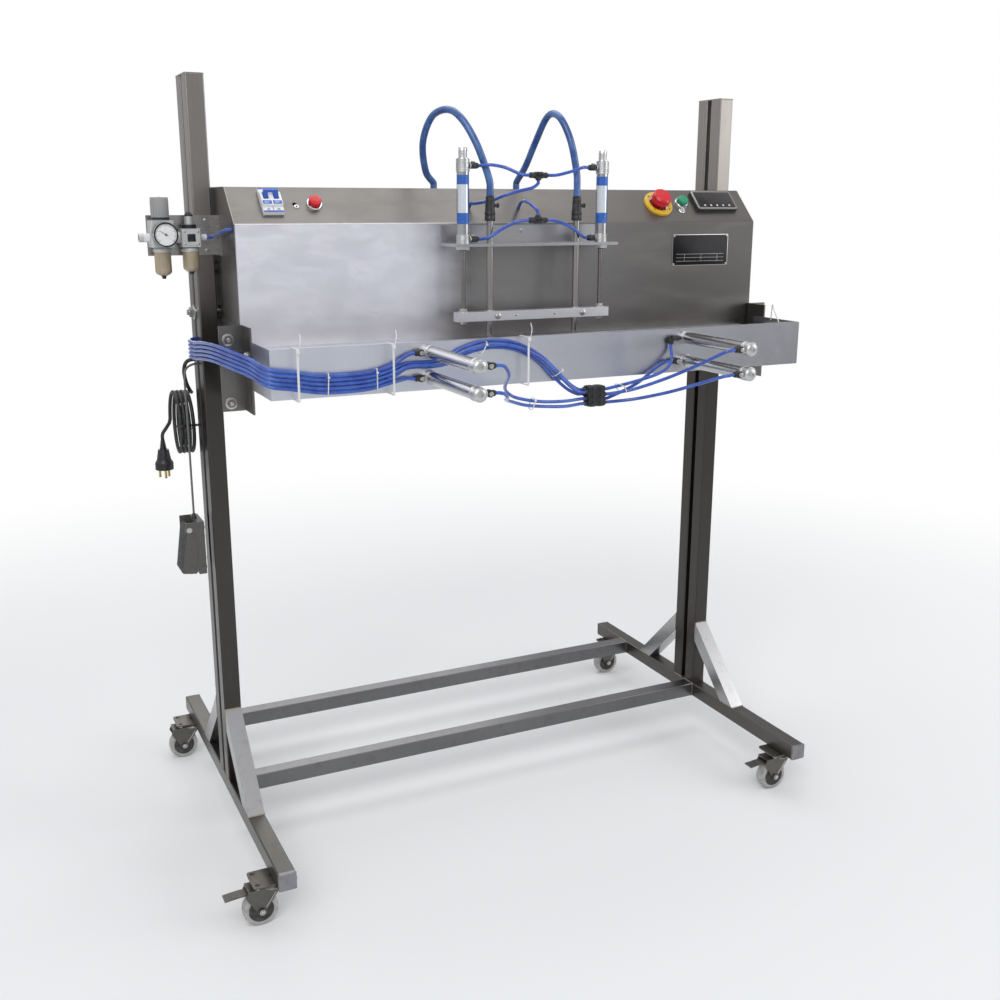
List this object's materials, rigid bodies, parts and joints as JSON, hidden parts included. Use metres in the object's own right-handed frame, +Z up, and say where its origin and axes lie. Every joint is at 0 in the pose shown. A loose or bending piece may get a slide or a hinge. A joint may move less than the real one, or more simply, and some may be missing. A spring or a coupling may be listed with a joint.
{
  "type": "bag sealing machine",
  "caption": "Pneumatic jaw bag sealer: a height-adjustable head with vacuum nozzles, clamp cylinders and a control slope between two posts on a caster stand.",
  "frame": {"origin": "on the floor under the middle of the machine's box, measured without its leads", "axes": "+X along the jaws to the operator's right as drawn, +Y from the operator's side to the back, +Z up"},
  "size_m": [1.274, 0.967, 1.458],
  "materials": {
    "stainless": "satin brushed stainless sheet",
    "frame_tube": "dull stainless tube with dark weld haze",
    "bright_metal": "bright drawn aluminium",
    "polished_rod": "polished",
    "black_plastic": "moulded black nylon",
    "grey_rubber": "grey thermoplastic rubber tread",
    "blue_tube": "translucent blue polyurethane",
    "black_cable": "black cable sheath",
    "white_plastic": "white moulded plastic",
    "red_plastic": "red moulded plastic",
    "green_plastic": "green moulded plastic",
    "blue_plastic": "blue moulded plastic",
    "grey_cast": "grey cast housing"
  },
  "bodies": {
    "frame": {"left_foot": "frame_tube", "right_foot": "frame_tube", "front_cross_bar": "frame_tube", "rear_cross_bar": "frame_tube", "left_post": "frame_tube", "right_post": "frame_tube", "braces": "stainless", "caster_plates": "stainless"},
    "swivel_front_left": {"fork_front_left": "grey_cast"},
    "wheel_front_left": {"wheel_front_left": "grey_rubber"},
    "swivel_front_right": {"fork_front_right": "grey_cast"},
    "wheel_front_right": {"wheel_front_right": "grey_rubber"},
    "swivel_rear_left": {"fork_rear_left": "grey_cast"},
    "wheel_rear_left": {"wheel_rear_left": "grey_rubber"},
    "swivel_rear_right": {"fork_rear_right": "grey_cast"},
    "wheel_rear_right": {"wheel_rear_right": "grey_rubber"},
    "brake_left": {"brake_left": "stainless"},
    "brake_right": {"brake_right": "stainless"},
    "jaw": {"front_jaw": "bright_metal", "jaw_rods": "polished_rod"},
    "nozzles": {"lift_rods": "polished_rod", "nozzle_bar": "bright_metal", "nozzle_tubes": "polished_rod"},
    "breaker_lever": {"breaker_lever": "blue_plastic"},
    "estop_button": {"estop_button": "red_plastic"},
    "start_button": {"start_button": "green_plastic"},
    "stop_button": {"stop_button": "red_plastic"},
    "toggle_lever": {"toggle_lever": "polished_rod"},
    "regulator_knob": {"regulator_knob": "grey_cast"},
    "pedal_treadle": {"pedal_treadle": "black_plastic"},
    "head": {"head_shell": "stainless", "end_plates": "stainless", "rear_cover": "stainless", "height_bolts": "stainless", "front_beam": "stainless", "beam_brackets": "stainless", "rear_jaw": "bright_metal", "cylinder_barrels": "bright_metal", "cylinder_caps": "bright_metal", "lift_plate": "stainless", "vacuum_hoses": "blue_tube", "breaker_body": "white_plastic", "panel_bezels": "polished_rod", "controller": "black_plastic", "air_plate": "stainless", "air_unit": "bright_metal", "pressure_gauge": "black_plastic", "transformer": "grey_cast", "valve_block": "bright_metal", "vacuum_pump": "bright_metal", "air_tubes": "blue_tube", "lift_tubes": "blue_tube", "air_fittings": "black_plastic", "cable_ties": "white_plastic", "mains_lead": "black_cable", "mains_hank": "black_cable", "mains_plug": "black_cable", "pedal_lead": "black_cable", "pedal_base": "grey_cast"}
  },
  "joints": [
    {"name": "head_height", "type": "slide", "parent": "frame", "child": "head", "axis": [0, 0, 1], "range_m": [-0.25, 0.15]},
    {"name": "jaw_slide", "type": "slide", "parent": "head", "child": "jaw", "axis": [0, 1, 0], "range_m": [0, 0.0497]},
    {"name": "nozzle_lift", "type": "slide", "parent": "head", "child": "nozzles", "axis": [0, 0, 1], "range_m": [0, 0.098], "deforming": ["vacuum_hoses"]},
    {"name": "swivel_front_left", "type": "hinge", "parent": "frame", "child": "swivel_front_left", "pos_m": [-0.5355, -0.2775, 0.08], "axis": [0, 0, 1], "continuous": true},
    {"name": "wheel_front_left", "type": "hinge", "parent": "swivel_front_left", "child": "wheel_front_left", "pos_m": [-0.5595, -0.2775, 0.0315], "axis": [0, 1, 0], "continuous": true},
    {"name": "swivel_front_right", "type": "hinge", "parent": "frame", "child": "swivel_front_right", "pos_m": [0.5975, -0.2775, 0.08], "axis": [0, 0, 1], "continuous": true},
    {"name": "wheel_front_right", "type": "hinge", "parent": "swivel_front_right", "child": "wheel_front_right", "pos_m": [0.5735, -0.2775, 0.0315], "axis": [0, 1, 0], "continuous": true},
    {"name": "swivel_rear_left", "type": "hinge", "parent": "frame", "child": "swivel_rear_left", "pos_m": [-0.5355, 0.4265, 0.08], "axis": [0, 0, 1], "continuous": true},
    {"name": "wheel_rear_left", "type": "hinge", "parent": "swivel_rear_left", "child": "wheel_rear_left", "pos_m": [-0.5595, 0.4265, 0.0315], "axis": [0, 1, 0], "continuous": true},
    {"name": "swivel_rear_right", "type": "hinge", "parent": "frame", "child": "swivel_rear_right", "pos_m": [0.5975, 0.4265, 0.08], "axis": [0, 0, 1], "continuous": true},
    {"name": "wheel_rear_right", "type": "hinge", "parent": "swivel_rear_right", "child": "wheel_rear_right", "pos_m": [0.5735, 0.4265, 0.0315], "axis": [0, 1, 0], "continuous": true},
    {"name": "brake_left", "type": "hinge", "parent": "swivel_front_left", "child": "brake_left", "pos_m": [-0.5785, -0.2775, 0.0635], "axis": [0, -1, 0], "range_deg": [0, 12]},
    {"name": "brake_right", "type": "hinge", "parent": "swivel_front_right", "child": "brake_right", "pos_m": [0.5545, -0.2775, 0.0635], "axis": [0, -1, 0], "range_deg": [0, 12]},
    {"name": "estop_press", "type": "slide", "parent": "head", "child": "estop_button", "axis": [0, 0.7071, -0.7071], "range_m": [0, 0.006]},
    {"name": "start_press", "type": "slide", "parent": "head", "child": "start_button", "axis": [0, 0.7071, -0.7071], "range_m": [0, 0.003], "stiffness_N_per_m": 800, "springref_m": -0.001},
    {"name": "stop_press", "type": "slide", "parent": "head", "child": "stop_button", "axis": [0, 0.7071, -0.7071], "range_m": [0, 0.003], "stiffness_N_per_m": 800, "springref_m": -0.001},
    {"name": "breaker_throw", "type": "hinge", "parent": "head", "child": "breaker_lever", "pos_m": [-0.427, -0.07256, 1.25125], "axis": [1, 0, 0], "range_deg": [0, 50]},
    {"name": "toggle_throw", "type": "hinge", "parent": "head", "child": "toggle_lever", "pos_m": [0.412, -0.08769, 1.23103], "axis": [1, 0, 0], "range_deg": [-24, 0]},
    {"name": "regulator_turn", "type": "hinge", "parent": "head", "child": "regulator_knob", "pos_m": [-0.599, 0.0112, 1.23], "axis": [0, 0, 1], "range_deg": [-720, 720]},
    {"name": "pedal_press", "type": "hinge", "parent": "head", "child": "pedal_treadle", "pos_m": [-0.582, 0.0665, 0.648], "axis": [0, -1, 0], "range_deg": [0, 8], "stiffness_Nm_per_rad": 6, "springref_deg": -2.86}
  ]
}
